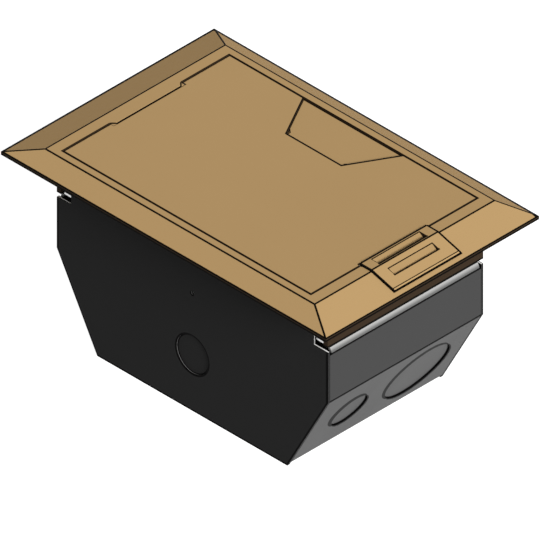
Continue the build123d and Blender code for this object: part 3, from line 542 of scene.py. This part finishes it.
def wrap_shading(name, wall_shade, slope, highlight_zinc, slope_top, wall_top, bend):
    """Grey sheet with painted shade and light: darker upright walls, lighter slopes, a painted
    highlight on the rounded top.
    """
    finish = Finish(name)
    high = finish.parts_of(finish.place)[2]
    foot = wall_top - bend
    smear = finish.noise(7.0, 4.0, 0.6, (1.0, 2.2, 1.0))
    # Painted shade and light: the upright walls darker than the slopes of the same sheet
    grey = finish.blend(high.ramp(slope_top - FOLD_SHADE, slope_top + FOLD_SHADE), slope, wall_shade)
    grey = finish.blend(smear.ramp(0.4, 0.8) * 0.05, grey, scaled(wall_shade, 0.8))
    # Painted highlight on the rounded top: dim from its foot, bright towards the top
    grey = finish.blend(high.ramp(foot - 0.2 * MM, foot + 0.2 * MM), grey, scaled(highlight_zinc, 0.17))
    shine = high.ramp(foot + BEND_SHINE[0], foot + BEND_SHINE[1])
    grey = finish.blend(shine, grey, scaled(highlight_zinc, 0.6))
    endways = abs(finish.parts_of(finish.facing)[0]).ramp(0.3, 0.5)
    marks = together([
        finish.line(high - slope_top, WRAP_FOLD_LINE),
        finish.line(high - foot, WRAP_FOOT_LINE),
        # Painted shadow where the frame's leg meets the rounded top
        finish.line(high - (foot + BEND_LINE_HIGH), GAP_LINE),
        high.below(WRAP_BOTTOM_BAND, 0.4 * MM) * endways,
        slope_rings(finish),
    ])
    return finish.surface(**{
        "Base Color": finish.blend(marks, grey, scaled(wall_shade, 0.04)),
        "Specular IOR Level": 0.03,
        "Roughness": 0.42 + smear * 0.14,
        "Normal": finish.rounded(),
    })


def zinc_plate(name, colour, grain_run, roughness, line=0.3 * MM):
    """Bright plated sheet with faint rolling lines and spangle."""
    finish = Finish(name)
    lines = finish.noise(300.0, 3.0, 0.6, grain_run)
    cloud = finish.noise(22.0, 3.0)
    base = finish.blend(cloud.ramp(0.3, 0.7) * 0.4, colour, scaled(colour, 0.82))
    base = finish.blend(lines.ramp(0.45, 0.75) * 0.2, base, scaled(colour, 0.7))
    base = finish.blend(finish.edge(line) * 0.5, base, scaled(colour, 0.2))
    return finish.surface(**{
        "Base Color": base,
        "Metallic": 0.75,
        "Roughness": roughness + lines * 0.12,
        "Normal": finish.bump(lines, 0.008 * MM, 0.4, finish.rounded()),
    })


def rubber(name, colour, roughness=0.8):
    """Dull black finish of the pads and the blackened pin."""
    finish = Finish(name)
    grain = finish.noise(1500.0, 2.0)
    return finish.surface(**{
        "Base Color": finish.blend(grain, colour, scaled(colour, 1.6)),
        "Roughness": roughness,
    })


class Tree:
    """A Geometry Nodes tree with named inputs for its sizes."""

    def __init__(self, name):
        self.tree = bpy.data.node_groups.new(name, "GeometryNodeTree")
        for way in ("INPUT", "OUTPUT"):
            self.tree.interface.new_socket(
                "Geometry", in_out=way, socket_type="NodeSocketGeometry"
            )
        self.inputs = self.tree.nodes.new("NodeGroupInput")
        self.outputs = self.tree.nodes.new("NodeGroupOutput")

    def size(self, name, default):
        """A length input, and the socket that reads it."""
        made = self.tree.interface.new_socket(name, in_out="INPUT", socket_type="NodeSocketFloat")
        made.default_value = default
        made.subtype = "DISTANCE"
        return self.inputs.outputs[name]

    def node(self, kind, settings, inputs, output=0):
        """Any node: its settings first, then its sockets; a list links several to one."""
        node = self.tree.nodes.new(kind)
        for key, value in settings.items():
            setattr(node, key, value)
        for key, value in inputs.items():
            socket = node.inputs[key]
            if isinstance(value, bpy.types.NodeSocket):
                self.tree.links.new(value, socket)
            elif isinstance(value, list):
                for linked in value:
                    self.tree.links.new(linked, socket)
            else:
                socket.default_value = value
        return node.outputs[output]

    def times(self, socket, factor):
        return self.node("ShaderNodeMath", {"operation": "MULTIPLY"}, {0: socket, 1: factor})

    def vector(self, x=0.0, y=0.0, z=0.0):
        return self.node("ShaderNodeCombineXYZ", {}, {0: x, 1: y, 2: z})

    def cylinder(self, radius, depth, sides, shift):
        """A closed cylinder whose middle is shifted along its axis."""
        tube = self.node(
            "GeometryNodeMeshCylinder", {}, {"Vertices": sides, "Radius": radius, "Depth": depth}
        )
        return self.node(
            "GeometryNodeTransform", {}, {"Geometry": tube, "Translation": self.vector(z=shift)}
        )

    def dome(self, radius, height):
        """A flat-bottomed dome on the plane z = 0."""
        ball = self.node(
            "GeometryNodeMeshUVSphere", {}, {"Segments": 28, "Rings": 14, "Radius": 1.0}
        )
        place = self.node("GeometryNodeInputPosition", {}, {})
        split = self.node("ShaderNodeSeparateXYZ", {}, {0: place}).node
        above = self.node(
            "ShaderNodeMath", {"operation": "MAXIMUM"}, {0: split.outputs[2], 1: 0.0}
        )
        flat = self.node(
            "GeometryNodeSetPosition", {},
            {
                "Geometry": ball,
                "Position": self.vector(
                    self.times(split.outputs[0], radius),
                    self.times(split.outputs[1], radius),
                    self.times(above, height),
                ),
            },
        )
        return self.node(
            "GeometryNodeMergeByDistance", {}, {"Geometry": flat, "Distance": 0.001 * MM}
        )

    def cut(self, body, *tools):
        return self.node(
            "GeometryNodeMeshBoolean",
            {"operation": "DIFFERENCE", "solver": "EXACT"},
            {"Mesh 1": body, "Mesh 2": list(tools)},
        )

    def join(self, *parts):
        return self.node("GeometryNodeJoinGeometry", {}, {0: list(reversed(parts))})

    def spread(self, piece, material):
        """Sets the piece on each point, turned to the point's axis, and ends the tree."""
        axis = self.node(
            "GeometryNodeInputNamedAttribute", {"data_type": "FLOAT_VECTOR"}, {"Name": "axis"}
        )
        turn = self.node("FunctionNodeAlignRotationToVector", {"axis": "Z"}, {"Vector": axis})
        placed = self.node(
            "GeometryNodeInstanceOnPoints", {},
            {"Points": self.inputs.outputs[0], "Instance": piece, "Rotation": turn},
        )
        real = self.node("GeometryNodeRealizeInstances", {}, {"Geometry": placed})
        done = self.node("GeometryNodeSetMaterial", {}, {"Geometry": real, "Material": material})
        self.tree.links.new(done, self.outputs.inputs[0])


def grown(name, tree, places, sizes):
    """A plain mesh from a tree that was spread over places, each a point and an axis."""
    seeds = bpy.data.meshes.new(name + "_places")
    seeds.from_pydata([point for point, axis in places], [], [])
    axes = seeds.attributes.new("axis", "FLOAT_VECTOR", "POINT")
    for index, (point, axis) in enumerate(places):
        axes.data[index].vector = axis
    piece = bpy.data.objects.new(name, seeds)
    bpy.context.scene.collection.objects.link(piece)
    modifier = piece.modifiers.new("spread", "NODES")
    modifier.node_group = tree.tree
    for item in tree.tree.interface.items_tree:
        if item.in_out == "INPUT" and item.name in sizes:
            modifier[item.identifier] = sizes[item.name]
    bpy.context.view_layer.update()
    graph = bpy.context.evaluated_depsgraph_get()
    mesh = bpy.data.meshes.new_from_object(piece.evaluated_get(graph))
    if not mesh.polygons:
        raise RuntimeError(name + " has no faces")
    piece.modifiers.remove(modifier)
    piece.data = mesh
    bpy.data.meshes.remove(seeds)
    mesh.name = name
    mesh.materials.clear()
    mesh.materials.append(fastener_zinc())
    mesh.shade_smooth()
    mesh.set_sharp_from_angle(angle=SHARP_ANGLE)
    return piece


class FrameSettings(bpy.types.PropertyGroup):
    """Paint of the trim frame, the lid, the flap and the cable door."""

    tan: bpy.props.FloatVectorProperty(
        name="Tan", description="Colour of the painted faces", subtype="COLOR",
        default=(0.397, 0.257, 0.115), min=0.0, max=1.0,
    )
    # Upright faces: a darker tan that is painted shade
    tan_side_shade: bpy.props.FloatVectorProperty(
        name="Tan sides", description="Colour of the upright painted faces", subtype="COLOR",
        default=(0.0300, 0.0190, 0.0110), min=0.0, max=1.0,
    )


class BodySettings(bpy.types.PropertyGroup):
    """Sheet metal of the body, the tray and the clamps."""

    # The side plates' near-black is painted shade of the sheet
    plate: bpy.props.FloatVectorProperty(
        name="Side plates", description="Colour of the side plates' broad faces", subtype="COLOR",
        default=(0.0195, 0.0195, 0.0195), min=0.0, max=1.0,
    )
    # The walls' darker grey is painted shade
    wall_shade: bpy.props.FloatVectorProperty(
        name="End walls", description="Colour of the upright end walls", subtype="COLOR",
        default=(0.047, 0.047, 0.047), min=0.0, max=1.0,
    )
    # The slopes' lighter grey is painted light on the same sheet
    slope: bpy.props.FloatVectorProperty(
        name="Slopes", description="Colour of the sloped ends and the bottom", subtype="COLOR",
        default=(0.096, 0.096, 0.096), min=0.0, max=1.0,
    )
    zinc: bpy.props.FloatVectorProperty(
        name="Zinc", description="Colour of the bright plated sheet", subtype="COLOR",
        default=(0.66, 0.66, 0.65), min=0.0, max=1.0,
    )
    slope_top: bpy.props.FloatProperty(
        name="Slope top", description="Height where the slopes meet the end walls", unit="LENGTH",
        default=0.0793, min=0.0, max=0.2, precision=4,
    )
    bend: bpy.props.FloatProperty(
        name="Bend", description="Height of the rounded top of the end walls", unit="LENGTH",
        default=0.0075, min=0.001, max=0.03, precision=4,
    )


class FastenerSettings(bpy.types.PropertyGroup):
    """Sizes of the screws and rivets."""

    rivet_head: bpy.props.FloatProperty(
        name="Rivet head", description="Diameter of a stiffener rivet's head", unit="LENGTH",
        default=0.0064, min=0.002, max=0.02, precision=4,
    )
    rivet_pitch: bpy.props.FloatProperty(
        name="Rivet pitch", description="Distance between rivets in one row", unit="LENGTH",
        default=0.044, min=0.01, max=0.1, precision=4,
    )
    plate_screw: bpy.props.FloatProperty(
        name="Plate screw", description="Thread diameter of a plate screw", unit="LENGTH",
        default=0.003, min=0.002, max=0.01, precision=4,
    )
    frame_screw: bpy.props.FloatProperty(
        name="Frame screw", description="Thread diameter of a frame screw", unit="LENGTH",
        default=0.004, min=0.002, max=0.01, precision=4,
    )
    clamp_screw: bpy.props.FloatProperty(
        name="Clamp screw", description="Thread diameter of a clamp screw", unit="LENGTH",
        default=0.005, min=0.003, max=0.01, precision=4,
    )
    clamp_pitch: bpy.props.FloatProperty(
        name="Clamp screw pitch", description="Rise of the thread in one turn", unit="LENGTH",
        default=0.0008, min=0.0003, max=0.003, precision=5,
    )


class StageSettings(bpy.types.PropertyGroup):
    """Camera, lamp and floor."""

    azimuth: bpy.props.FloatProperty(
        name="Azimuth", description="Side that the camera looks from", subtype="ANGLE",
        default=radians(45.0),
    )
    elevation: bpy.props.FloatProperty(
        name="Elevation", description="Camera's height above the horizon", subtype="ANGLE",
        default=radians(35.264),
    )
    width: bpy.props.FloatProperty(
        name="View width", description="Width that the camera sees", unit="LENGTH", default=0.410,
    )
    aim: bpy.props.FloatProperty(
        name="Aim height", description="Height that the camera aims at", unit="LENGTH",
        default=0.08924, precision=5,
    )
    key: bpy.props.FloatProperty(
        name="Key lamp", description="Strength of the lamp at the right", default=4.78,
    )
    softness: bpy.props.FloatProperty(
        name="Softness", description="Angle that the key lamp fills", subtype="ANGLE",
        default=radians(25.0),
    )
    fill: bpy.props.FloatProperty(
        name="Fill", description="Level of the even light from all sides", default=0.33,
    )
    floor: bpy.props.FloatProperty(
        name="Floor", description="Brightness of the floor as the box receives it", default=0.35,
    )


def settings():
    """The sizes and colours that the scene holds."""
    return bpy.context.scene.floor_box


class FLOORBOX_OT_paint(bpy.types.Operator):
    """Paints the trim frame, the lid, the pull flap and the cable door"""

    bl_idname = "floor_box.paint"
    bl_label = "Paint frame and lid"

    def execute(self, context):
        paint = settings().paint
        colours = (tuple(paint.tan), tuple(paint.tan_side_shade))
        dress(powder_coat("frame_powder_coat", *colours, frame_marks), "trim_frame")
        dress(powder_coat("lid_powder_coat", *colours, lid_marks), "lid")
        dress(powder_coat("flap_powder_coat", *colours), "pull_flap")
        dress(powder_coat("door_powder_coat", *colours, door_marks), "cable_door")
        return {"FINISHED"}


class FLOORBOX_OT_body(bpy.types.Operator):
    """Finishes the folded body, the side plates and the pry-out discs"""

    bl_idname = "floor_box.body"
    bl_label = "Finish body sheets"

    def execute(self, context):
        body = settings().body
        zinc = tuple(body.zinc)
        # The wrap's walls and slopes take painted shade and light, its rounded top a painted
        # highlight
        wrap = wrap_shading(
            "wrap_zinc", tuple(body.wall_shade), tuple(body.slope), zinc,
            body.slope_top, WRAP_HIGH[2], body.bend,
        )
        dress(wrap, "box_wrap", "end_pryouts_large", "end_pryouts_small")
        # The side plates' near-black is painted shade; their end edges take the walls' shaded grey,
        # the edges that face up a painted highlight
        plate = shaded_sheet(
            "plate_black", tuple(body.plate), tuple(body.wall_shade),
            scaled(zinc, 0.6), scaled(zinc, 1.3),
        )
        dress(plate, "side_plate_front", "side_plate_back", "side_pryouts")
        return {"FINISHED"}


class FLOORBOX_OT_fittings(bpy.types.Operator):
    """Finishes the device tray, its plates, the divider, the stiffener and the clamps"""

    bl_idname = "floor_box.fittings"
    bl_label = "Finish inner fittings"

    def execute(self, context):
        zinc = tuple(settings().body.zinc)
        tray = zinc_plate("tray_zinc", zinc, (0.05, 1.0, 1.0), 0.34)
        dress(tray, "device_tray", "divider", "lid_stiffener")
        plates = zinc_plate("device_plate_zinc", scaled(zinc, 0.9), (1.0, 0.05, 1.0), 0.28)
        dress(plates, "power_plate", "data_plate")
        clamps = zinc_plate("clamp_zinc", scaled(zinc, 1.1), (1.0, 0.1, 1.0), 0.3, 0.6 * MM)
        dress(clamps, *(
            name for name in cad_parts
            if name.startswith(("clamp_nut", "clamp_tongue"))
        ))
        pins = zinc_plate("pin_zinc", zinc, (1.0, 0.1, 1.0), 0.25)
        dress(pins, "pull_flap_pin", "cable_door_pins")
        dress(rubber("pin_black_oxide", (0.02, 0.019, 0.018), 0.45), "lid_hinge_pin")
        ground = Finish("ground_green")
        sheen = ground.noise(120.0, 2.0)
        dress(
            ground.surface(**{
                "Base Color": ground.blend(sheen, (0.02, 0.22, 0.06), (0.03, 0.32, 0.09)),
                "Metallic": 0.5,
                "Roughness": 0.35,
            }),
            "ground_screw",
        )
        dress(rubber("pad_rubber", (0.025, 0.025, 0.025)), "lid_pads")
        return {"FINISHED"}


def fastener_zinc():
    """Plating shared by the screws and rivets."""
    return bpy.data.materials.get("fastener_zinc") or zinc_plate(
        "fastener_zinc", (0.62, 0.62, 0.60), (1.0, 1.0, 0.2), 0.3, 0.15 * MM
    )


class FLOORBOX_OT_rivets(bpy.types.Operator):
    """Sets domed rivets through the lid's stiffener"""

    bl_idname = "floor_box.rivets"
    bl_label = "Set stiffener rivets"

    def execute(self, context):
        sizes = settings().fasteners
        tree = Tree("rivet_spread")
        head = tree.size("Head radius", 0.003)
        rise = tree.size("Head height", 0.0016)
        shank = tree.size("Shank radius", 0.002)
        length = tree.size("Shank length", 0.003)
        body = tree.join(
            tree.dome(head, rise),
            tree.cylinder(shank, length, 20, tree.times(length, SHANK_MIDDLE)),
        )
        tree.spread(body, fastener_zinc())
        face = STIFFENER_HIGH[2] - STIFFENER_SHEET
        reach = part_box("stiffener_rivets")[1][0] - sizes.rivet_head / 2
        places = [
            (
                (side * reach, (index - (RIVETS_IN_ROW - 1) / 2) * sizes.rivet_pitch, face),
                (0.0, 0.0, -1.0),
            )
            for side in (-1, 1)
            for index in range(RIVETS_IN_ROW)
        ]
        rivets = grown(
            "stiffener_rivets_domed", tree, places,
            {
                "Head radius": sizes.rivet_head / 2, "Head height": 1.6 * MM,
                "Shank radius": 2.0 * MM, "Shank length": 3.4 * MM,
            },
        )
        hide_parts("stiffener_rivets")
        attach(rivets, "lid")
        return {"FINISHED"}


def screw(name, hexagon=False):
    """The tree of a threaded screw: domed with a cross recess, or flat with a hexagon."""
    tree = Tree(name)
    head = tree.size("Head radius", 0.003)
    rise = tree.size("Head height", 0.0016)
    shank = tree.size("Shank radius", 0.0015)
    length = tree.size("Shank length", 0.005)
    pitch = tree.size("Thread pitch", 0.0006)
    if hexagon:
        top = tree.cylinder(head, rise, 32, tree.times(rise, 0.5))
        recess = tree.cylinder(tree.times(head, 0.48), tree.times(rise, 1.4), 6, rise)
        top = tree.cut(top, recess)
    else:
        top = tree.dome(head, rise)
        for along in (0, 1):
            long_side = tree.times(head, 1.15)
            short_side = tree.times(head, 0.26)
            size = tree.vector(
                long_side if along else short_side,
                short_side if along else long_side,
                tree.times(rise, 1.1),
            )
            slot = tree.node("GeometryNodeMeshCube", {}, {"Size": size})
            slot = tree.node(
                "GeometryNodeTransform", {}, {"Geometry": slot, "Translation": tree.vector(z=rise)}
            )
            top = tree.cut(top, slot)
    core = tree.cylinder(tree.times(shank, 0.84), length, 20, tree.times(length, SHANK_MIDDLE))
    turns = tree.node("ShaderNodeMath", {"operation": "DIVIDE"}, {0: length, 1: pitch})
    mean = tree.times(shank, 0.9)
    spiral = tree.node(
        "GeometryNodeCurveSpiral", {},
        {
            "Resolution": 16, "Rotations": turns, "Start Radius": mean, "End Radius": mean,
            "Height": tree.times(length, 0.985),
        },
    )
    down = tree.node(
        "GeometryNodeTransform", {},
        {"Geometry": spiral, "Translation": tree.vector(z=tree.times(length, -0.99))},
    )
    profile = tree.node(
        "GeometryNodeCurvePrimitiveCircle", {"mode": "RADIUS"},
        {"Resolution": 3, "Radius": tree.times(pitch, 0.42)},
    )
    thread = tree.node(
        "GeometryNodeCurveToMesh", {}, {"Curve": down, "Profile Curve": profile, "Fill Caps": True}
    )
    tree.spread(tree.join(top, core, thread), fastener_zinc())
    return tree


def screw_sizes(head, rise, shank, length, pitch):
    """Values for the inputs of a screw's tree."""
    return {
        "Head radius": head, "Head height": rise, "Shank radius": shank,
        "Shank length": length, "Thread pitch": pitch,
    }


def corner_places(high, head, rise):
    """Places of four upright screws whose heads fill the corners of a box."""
    return [
        ((side * (high[0] - head), end * (high[1] - head), high[2] - rise), (0.0, 0.0, 1.0))
        for side in (-1, 1)
        for end in (-1, 1)
    ]


class FLOORBOX_OT_plate_screws(bpy.types.Operator):
    """Sets the cross-recessed screws of the two device plates"""

    bl_idname = "floor_box.plate_screws"
    bl_label = "Set plate screws"

    def execute(self, context):
        thread = settings().fasteners.plate_screw
        places = []
        for side in (-1, 1):
            axis = Vector((-side * sin(TRAY_TILT), 0.0, cos(TRAY_TILT)))
            along = Vector((side * cos(TRAY_TILT), 0.0, sin(TRAY_TILT)))
            middle = Vector((side * DEVICE_MIDDLE[0], 0.0, DEVICE_MIDDLE[1]))
            for up in (-1, 1):
                for out in (-1, 1):
                    point = middle + axis * DEVICE_SHEET + along * (up * DEVICE_SCREW[0])
                    point.y = out * DEVICE_SCREW[1]
                    places.append((tuple(point), tuple(axis)))
        screws = grown(
            "plate_screws_turned", screw("plate_screw_spread"), places,
            screw_sizes(
                head=thread, rise=thread / 2, shank=thread / 2, length=5.0 * MM, pitch=0.5 * MM
            ),
        )
        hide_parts("plate_screws")
        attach(screws, "housing")
        return {"FINISHED"}


class FLOORBOX_OT_frame_screws(bpy.types.Operator):
    """Sets the screws that hold the trim frame to the body"""

    bl_idname = "floor_box.frame_screws"
    bl_label = "Set frame screws"

    def execute(self, context):
        thread = settings().fasteners.frame_screw
        low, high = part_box("frame_screws")
        head = thread * 0.95
        rise = thread * 0.6
        screws = grown(
            "frame_screws_turned", screw("frame_screw_spread"), corner_places(high, head, rise),
            screw_sizes(head, rise, thread / 2, length=high[2] - rise - low[2], pitch=0.7 * MM),
        )
        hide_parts("frame_screws")
        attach(screws, "housing")
        return {"FINISHED"}


class FLOORBOX_OT_clamp_screws(bpy.types.Operator):
    """Sets the long threaded screws that lift the hold-down clamps"""

    bl_idname = "floor_box.clamp_screws"
    bl_label = "Set clamp screws"

    def execute(self, context):
        sizes = settings().fasteners
        low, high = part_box("clamp_screws")
        head = 4.6 * MM
        rise = 3.0 * MM
        length = high[2] - rise - low[2]
        screws = grown(
            "clamp_screws_turned", screw("clamp_screw_spread", hexagon=True),
            corner_places(high, head, rise),
            screw_sizes(head, rise, sizes.clamp_screw / 2, length, sizes.clamp_pitch),
        )
        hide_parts("clamp_screws")
        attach(screws, "housing")
        return {"FINISHED"}


def seen_mask(nodes):
    """1 for the rays that show the pale surroundings: camera, glossy and transmission rays."""
    path = nodes.node("ShaderNodeLightPath", {}, {}).socket.node
    rays = [
        Value(nodes, path.outputs[name])
        for name in ("Is Camera Ray", "Is Glossy Ray", "Is Transmission Ray")
    ]
    return (rays[0] + rays[1] + rays[2]).clamped()


class FLOORBOX_OT_stage(bpy.types.Operator):
    """Sets up the floor, the soft lamp and the camera at the photograph's angle"""

    bl_idname = "floor_box.stage"
    bl_label = "Set the stage"

    def execute(self, context):
        stage = settings().stage
        scene = context.scene
        mesh = bpy.data.meshes.new("floor")
        corners = ((-1, -1), (1, -1), (1, 1), (-1, 1))
        mesh.from_pydata(
            [(x * FLOOR_HALF, y * FLOOR_HALF, 0.0) for x, y in corners], [], [(0, 1, 2, 3)]
        )
        floor = bpy.data.objects.new("floor", mesh)
        scene.collection.objects.link(floor)
        paper = Finish("floor_paper")
        plain = paper.node(
            "ShaderNodeBsdfDiffuse", {}, {"Color": (stage.floor, stage.floor, stage.floor, 1.0)}
        )
        glow = paper.node("ShaderNodeEmission", {}, {"Strength": FLOOR_GLOW})
        bright = paper.node("ShaderNodeAddShader", {}, {0: plain, 1: glow})
        paper.show(
            paper.node("ShaderNodeMixShader", {}, {0: seen_mask(paper), 1: plain, 2: bright})
        )
        mesh.materials.append(paper.material)

        world = bpy.data.worlds.new("studio")
        scene.world = world
        world.use_nodes = True
        sky = ShaderNodes(world.node_tree, "ShaderNodeOutputWorld")
        even = sky.node("ShaderNodeBackground", {}, {"Color": WHITE, "Strength": stage.fill})
        white = sky.node("ShaderNodeBackground", {}, {"Color": WHITE, "Strength": 1.0})
        sky.show(sky.node("ShaderNodeMixShader", {}, {0: seen_mask(sky), 1: even, 2: white}))

        key = bpy.data.lights.new("key_lamp", "SUN")
        key.energy = stage.key
        key.angle = stage.softness
        lamp = bpy.data.objects.new("key_lamp", key)
        lamp.rotation_euler = KEY_SIDE.to_track_quat("Z", "Y").to_euler()
        scene.collection.objects.link(lamp)

        camera = bpy.data.cameras.new("camera")
        camera.type = "ORTHO"
        camera.ortho_scale = stage.width
        camera.clip_end = 10 * CAMERA_DISTANCE
        holder = bpy.data.objects.new("camera", camera)
        towards = Vector((
            sin(stage.azimuth) * cos(stage.elevation),
            -cos(stage.azimuth) * cos(stage.elevation),
            sin(stage.elevation),
        ))
        holder.location = Vector((0.0, 0.0, stage.aim)) + towards * CAMERA_DISTANCE
        holder.rotation_euler = towards.to_track_quat("Z", "Y").to_euler()
        scene.collection.objects.link(holder)
        scene.camera = holder
        scene.view_settings.view_transform = "Standard"
        return {"FINISHED"}


class FloorBoxSettings(bpy.types.PropertyGroup):
    """Everything that a user would change."""

    paint: bpy.props.PointerProperty(type=FrameSettings, name="Paint", description="Painted parts")
    body: bpy.props.PointerProperty(type=BodySettings, name="Body", description="Sheet-metal parts")
    fasteners: bpy.props.PointerProperty(
        type=FastenerSettings, name="Fasteners", description="Screws and rivets"
    )
    stage: bpy.props.PointerProperty(type=StageSettings, name="Stage", description="Studio")


OPERATORS = (
    FLOORBOX_OT_paint,
    FLOORBOX_OT_body,
    FLOORBOX_OT_fittings,
    FLOORBOX_OT_rivets,
    FLOORBOX_OT_plate_screws,
    FLOORBOX_OT_frame_screws,
    FLOORBOX_OT_clamp_screws,
    FLOORBOX_OT_stage,
)


class FLOORBOX_PT_panel(bpy.types.Panel):
    """Lists the steps that dress the floor box"""

    bl_idname = "FLOORBOX_PT_panel"
    bl_label = "Floor box"
    bl_space_type = "VIEW_3D"
    bl_region_type = "UI"
    bl_category = "Floor box"

    def draw(self, context):
        for operator in OPERATORS:
            self.layout.operator(operator.bl_idname)
        for group in ("paint", "body", "fasteners", "stage"):
            column = self.layout.column(align=True)
            held = getattr(context.scene.floor_box, group)
            for name in held.__annotations__:
                column.prop(held, name)


CLASSES = (
    FrameSettings, BodySettings, FastenerSettings, StageSettings, FloorBoxSettings,
    *OPERATORS, FLOORBOX_PT_panel,
)


def register():
    for item in CLASSES:
        bpy.utils.register_class(item)
    bpy.types.Scene.floor_box = bpy.props.PointerProperty(type=FloorBoxSettings)


def unregister():
    del bpy.types.Scene.floor_box
    for item in reversed(CLASSES):
        bpy.utils.unregister_class(item)


def main():
    """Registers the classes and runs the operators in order."""
    register()
    for operator in OPERATORS:
        group, name = operator.bl_idname.split(".")
        getattr(getattr(bpy.ops, group), name)()
    bpy.context.view_layer.update()


if __name__ == "__main__":
    main()
